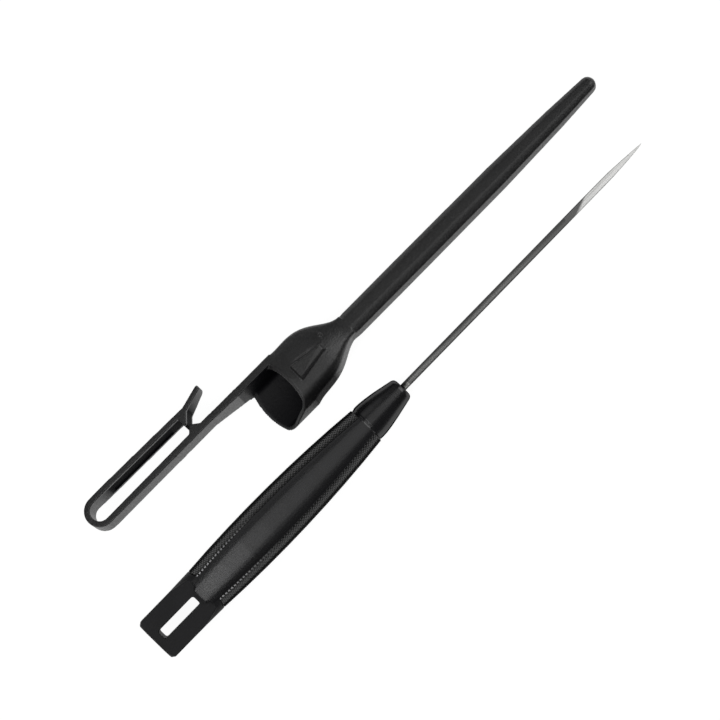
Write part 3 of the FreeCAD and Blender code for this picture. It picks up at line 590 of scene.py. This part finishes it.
def prismOf(plan, low, high, side=1.0):
    # an upright prism from its plan, in the awl's frame
    bpy.ops.mesh.primitive_circle_add(vertices=len(plan), fill_type="NGON", location=(0, 0, 0))
    form = bpy.context.object
    for point, (along, across) in zip(form.data.vertices, plan):
        point.co = Vector((along, side * across, low)) * mm
    editAll(form)
    bpy.ops.mesh.extrude_region_move(TRANSFORM_OT_translate={"value": (0, 0, (high - low) * mm)})
    bpy.ops.mesh.select_all(action="SELECT")
    bpy.ops.mesh.normals_make_consistent(inside=False)
    leaveEdit()
    form.data.transform(awlFrame)
    return form


def makePaddle():
    return [prismOf(paddle["sides"], -paddle["halfDepth"], paddle["halfDepth"], side)
            for side in (1.0, -1.0)]


def makeFiller():
    # the whole form up to the slanting line where the knurling starts
    filler = copyOf("fillerGuide", "handle_core", "grip_panel_left", "grip_panel_right")
    sliceOff(filler, awlFrame, (filling["rear"], 0, 0), (-1, 0, 0))
    for side in (1.0, -1.0):
        sliceOff(filler, awlFrame, (filling["front"], 0, 0), (1.0, side * filling["slant"], 0))
    return filler


def makeCore():
    moulding = copyOf("handleCore", "handle_core")
    horns = [prismOf(horn["plan"], low, high, side) for side in (1.0, -1.0)
             for low, high in ((horn["floor"], horn["top"]), (-horn["top"], -horn["floor"]))]
    cutter = horns[0]
    joinOnto(cutter, *horns[1:])
    finishWith(moulding, "BOOLEAN", operation="DIFFERENCE", solver="EXACT", object=cutter)
    bpy.data.objects.remove(cutter)
    turns = [2.0 * math.pi * corner / nose["corners"] for corner in range(nose["corners"])]
    cone = loftOf([(math.sin(turn), math.cos(turn)) for turn in turns], nose["stations"])
    cone.data.transform(awlFrame)
    joinOnto(moulding, makeFiller(), cone, *makePaddle())
    skinned(moulding, core, handlePlastic)
    return moulding


handleCore = makeCore()
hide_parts("handle_core")
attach(handleCore, "awl")
print("handle core ready:", len(handleCore.data.polygons), "faces")


# handle: knurled grip panels
grip = {
    "start": 24.4,            # butt to the panels
    "end": 102.3,             # butt to the panels' front end
    "rearLean": 1.3,          # how far their rear corners stand forward, beside the strip
    "columns": 58,            # diamonds along the panel
    "rows": 15,               # diamonds round it
    "groove": 0.07,           # half the groove between two diamonds
    "flank": 0.20,            # width of a diamond's flanks
    "rise": 0.23,             # their height
    "peak": 0.09,             # and its tip's
    "thickness": 1.1,
    "clear": 11.5,            # a radius outside the whole handle
    "middle": 63.0,           # butt to the panels' middle
    "sink": 0.85,             # how much of a pyramid's height lies under the CAD's surface
}
handleForm = {                # place, half width, half depth and corner radius
    "neck": (24.4, 8.65, 7.4, 5.5),
    "belly": (54.0, 9.55, 8.4, 5.5),
    "collar": (102.3, 7.2, 7.1, 5.5),
    "crown": 2.7,             # crown's radius past the corner's, over the width between corners
}


def formAt(place):
    # the swell falls off as a parabola on both sides of the belly
    belly = handleForm["belly"]
    end = handleForm["neck"] if place < belly[0] else handleForm["collar"]
    share = ((place - belly[0]) / (end[0] - belly[0])) ** 2
    return [middle - (middle - far) * share for middle, far in zip(belly[1:], end[1:])]


def stripEdge(place):
    # half width of the smooth strip, and the surface's height there
    halfWidth, halfDepth, rounding = formAt(place)
    half = halfWidth - rounding * (1.0 - 1.0 / handleForm["crown"])
    crown = rounding + (halfWidth - rounding) * handleForm["crown"]
    return half, halfDepth - crown + math.sqrt(crown ** 2 - half ** 2)


def diamondSheet(pieceName):
    # a grid turned into diamonds: a point in each square, then the old sides taken out
    bpy.ops.mesh.primitive_grid_add(x_subdivisions=grip["columns"], y_subdivisions=grip["rows"],
                                    size=1.0, location=(0, 0, 0))
    sheet = bpy.context.object
    sheet.name = pieceName
    editAll(sheet)
    bpy.ops.mesh.poke()
    bpy.ops.mesh.select_mode(type="EDGE")
    bpy.ops.mesh.select_all(action="DESELECT")
    leaveEdit()
    points = sheet.data.vertices
    for edge in sheet.data.edges:
        along = points[edge.vertices[1]].co - points[edge.vertices[0]].co
        middle = (points[edge.vertices[0]].co + points[edge.vertices[1]].co) / 2
        inside = max(abs(middle.x), abs(middle.y)) < 0.499
        edge.select = inside and min(abs(along.x), abs(along.y)) < 1e-5
    bpy.ops.object.mode_set(mode="EDIT")
    bpy.ops.mesh.dissolve_edges(use_verts=False)
    leaveEdit()
    return sheet


def makeGrip(pieceName, side, form):
    panel = diamondSheet(pieceName)

    def placeOf(point):
        # wraps the sheet round the handle
        across = point.y + 0.5
        rear = grip["start"] + grip["rearLean"] * (2.0 * across - 1.0) ** 2
        place = rear + (grip["end"] - rear) * (point.x + 0.5)
        half, height = stripEdge(place)
        edgeAngle = math.atan2(half, height)
        angle = edgeAngle + (math.pi - 2.0 * edgeAngle) * across
        return place, side * grip["clear"] * math.sin(angle), grip["clear"] * math.cos(angle)

    shapedFrom(panel, awlFrame, placeOf)
    axisPoint = awlFrame @ (Vector((grip["middle"], 0.0, 0.0)) * mm)
    axisLine = (awlFrame.to_3x3() @ Vector((1, 0, 0))).normalized()

    def facesOut(centre, normal):
        arm = centre - axisPoint
        arm -= axisLine * arm.dot(axisLine)
        return normal.dot(arm.normalized()) > 0.5

    editAll(panel)
    bpy.ops.mesh.normals_make_consistent(inside=False)
    leaveEdit()
    middle = panel.data.polygons[len(panel.data.polygons) // 2]
    if not facesOut(middle.center, middle.normal):
        editAll(panel)
        bpy.ops.mesh.flip_normals()
        leaveEdit()
    # draws the sheet onto the form, a little under its surface
    finishWith(panel, "SHRINKWRAP", target=form, wrap_method="PROJECT",
               use_negative_direction=True, use_positive_direction=False,
               offset=-(grip["rise"] + grip["peak"]) * mm * grip["sink"])
    finishWith(panel, "SOLIDIFY", thickness=grip["thickness"] * mm, offset=-1.0)
    # raises a pyramid on every outer face
    pickFaces(panel, facesOut)
    bpy.ops.mesh.inset(thickness=grip["groove"] * mm, depth=0.0, use_individual=True)
    bpy.ops.mesh.inset(thickness=grip["flank"] * mm, depth=grip["rise"] * mm, use_individual=True)
    bpy.ops.mesh.poke(offset=grip["peak"] * mm)
    leaveEdit()
    panel.data.materials.append(gripRubber)
    return panel


wholeForm = copyOf("handleFormGuide", "handle_core", "grip_panel_left", "grip_panel_right")
for nodeName, pieceName, side in (("grip_panel_left", "gripLeft", 1),
                                  ("grip_panel_right", "gripRight", -1)):
    panel = makeGrip(pieceName, side, wholeForm)
    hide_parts(nodeName)
    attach(panel, "awl")
    print(pieceName, "ready:", len(panel.data.polygons), "faces")
bpy.data.objects.remove(wholeForm)


# blade
blade = {
    "cut": 200.0,             # butt to where the ground point's own form takes over
    # quarter of the bar's outline, as shares of its half width
    "outline": [(0.8, 1.0), (1.0, 0.8)],
    # place, half width, half height and sideways shift
    "stations": [(200.0, 1.25, 1.25, 0.0), (205.0, 1.25, 1.25, 0.0), (208.5, 1.25, 1.12, 0.0),
                 (213.0, 1.24, 1.04, 0.0), (218.0, 1.22, 0.98, 0.0), (222.0, 1.18, 0.9, -0.02),
                 (225.5, 1.0, 0.78, -0.06), (229.0, 0.8, 0.62, -0.1), (232.5, 0.56, 0.42, -0.12),
                 (235.0, 0.36, 0.28, -0.12), (236.5, 0.2, 0.16, -0.1), (237.3, 0.05, 0.05, -0.05)],
    "smooth": 25.0,           # degrees
}


def makeBlade():
    bar = copyOf("awlBlade", "awl_blade")
    sliceOff(bar, awlFrame, (blade["cut"], 0, 0), (1, 0, 0), closed=False)
    outline = list(blade["outline"])
    for _ in range(3):
        # each next quarter is the last one turned by ninety degrees
        outline += [(up, -across) for across, up in outline[-2:]]
    point = loftOf(outline, blade["stations"], capStart=False)
    point.data.transform(awlFrame)
    joinOnto(bar, point)
    editAll(bar)
    bpy.ops.mesh.remove_doubles(threshold=0.01 * mm)
    bpy.ops.mesh.normals_make_consistent(inside=False)
    leaveEdit()
    pickOnly(bar)
    bpy.ops.object.shade_smooth_by_angle(angle=math.radians(blade["smooth"]))
    bar.data.materials.append(bladeSteel)
    return bar


awlBlade = makeBlade()
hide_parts("awl_blade")
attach(awlBlade, "awl")
print("blade ready:", len(awlBlade.data.polygons), "faces")


# floor, light and camera
stage = {
    "floorSize": 20.0,        # metres, so that it fills low views by itself
    "floorColour": (0.93, 0.93, 0.93, 1),
    "white": 0.93,            # plain white that the camera and reflections see in the floor
    "lit": 0.13,              # and how much of its light and shadow
}


def makeFloor():
    bpy.ops.mesh.primitive_plane_add(size=stage["floorSize"], location=(0, 0, -0.01 * mm))
    floor = bpy.context.object
    floor.name = "floor"
    material, nodes, links, shader = newMaterial("paleFloor")
    shader.inputs["Base Color"].default_value = stage["floorColour"]
    shader.inputs["Roughness"].default_value = 0.9
    shader.inputs["Specular IOR Level"].default_value = 0.0
    rays = nodes.new("ShaderNodeLightPath")
    white = nodes.new("ShaderNodeEmission")
    white.inputs["Color"].default_value = grey(stage["white"])
    lit = nodes.new("ShaderNodeBsdfDiffuse")
    lit.inputs["Color"].default_value = grey(stage["lit"])
    plain = nodes.new("ShaderNodeAddShader")
    links.new(white.outputs["Emission"], plain.inputs[0])
    links.new(lit.outputs["BSDF"], plain.inputs[1])
    seen = mathNode(nodes, links, "MAXIMUM", rays.outputs["Is Camera Ray"],
                    rays.outputs["Is Glossy Ray"])
    seen = mathNode(nodes, links, "MAXIMUM", seen, rays.outputs["Is Transmission Ray"])
    blend = nodes.new("ShaderNodeMixShader")
    links.new(seen, blend.inputs["Fac"])
    links.new(shader.outputs["BSDF"], blend.inputs[1])
    links.new(plain.outputs["Shader"], blend.inputs[2])
    links.new(blend.outputs["Shader"], nodes["Material Output"].inputs["Surface"])
    floor.data.materials.append(material)


world = {
    "sky": 0.10,              # soft studio light from above
    "horizon": 0.13,          # and from low down
    "horizonEnd": 0.3,        # height where the low light ends, as a share of the sky
}


def makeWorld():
    sky = bpy.data.worlds.new("studio")
    bpy.context.scene.world = sky
    sky.use_nodes = True
    nodes = sky.node_tree.nodes
    links = sky.node_tree.links
    coordinates = nodes.new("ShaderNodeTexCoord")
    axes = axesOf(nodes, links, coordinates.outputs["Generated"])
    studio = rampNode(nodes, links, axes["Z"],
                      (0.0, world["horizon"]), (world["horizonEnd"], world["sky"]))
    links.new(studio, nodes["Background"].inputs["Color"])


lamps = [
    # name, place, width along and across the tools in metres, radiance
    ("panelAbove", (0.10, 0.03, 1.0), 0.90, 0.84, 0.85),
    ("panelLeft", (0.10, 1.05, 0.85), 0.90, 0.80, 0.55),
    ("stripAbove", (-0.24, 0.0, 1.0), 0.11, 0.90, 4.2),
    ("softboxRear", (-1.25, 0.0, 0.95), 1.05, 1.05, 3.0),
    ("softboxFar", (1.25, 0.0, 0.95), 1.05, 1.05, 3.0),
]


def makeLamps():
    for name, place, along, across, radiance in lamps:
        bpy.ops.object.light_add(type="AREA", location=place)
        lamp = bpy.context.object
        lamp.name = name
        lamp.data.shape = "RECTANGLE"
        lamp.data.size = along
        lamp.data.size_y = across
        lamp.data.energy = radiance * math.pi * along * across
        # it looks at the middle, with its first width kept along the tools
        back = Vector(place).normalized()
        aside = (Vector((1, 0, 0)) - back * back.x).normalized()
        lamp.rotation_euler = Matrix((aside, back.cross(aside), back)).transposed().to_euler()


camera = {
    "above": (-3.95, -3.74, 10.0),    # what it looks down on
    "distance": 918.0,
    "lens": 135.0,
    "turn": -45.7,                    # so that the awl points to the upper right
}


def makeCamera():
    place = Vector(camera["above"]) + Vector((0, 0, camera["distance"]))
    bpy.ops.object.camera_add(location=place * mm, rotation=(0, 0, math.radians(camera["turn"])))
    eye = bpy.context.object
    eye.data.sensor_width = 36.0
    eye.data.lens = camera["lens"]
    bpy.context.scene.camera = eye


makeFloor()
makeWorld()
makeLamps()
makeCamera()
bpy.context.scene.view_settings.view_transform = "Standard"
print("stage ready")
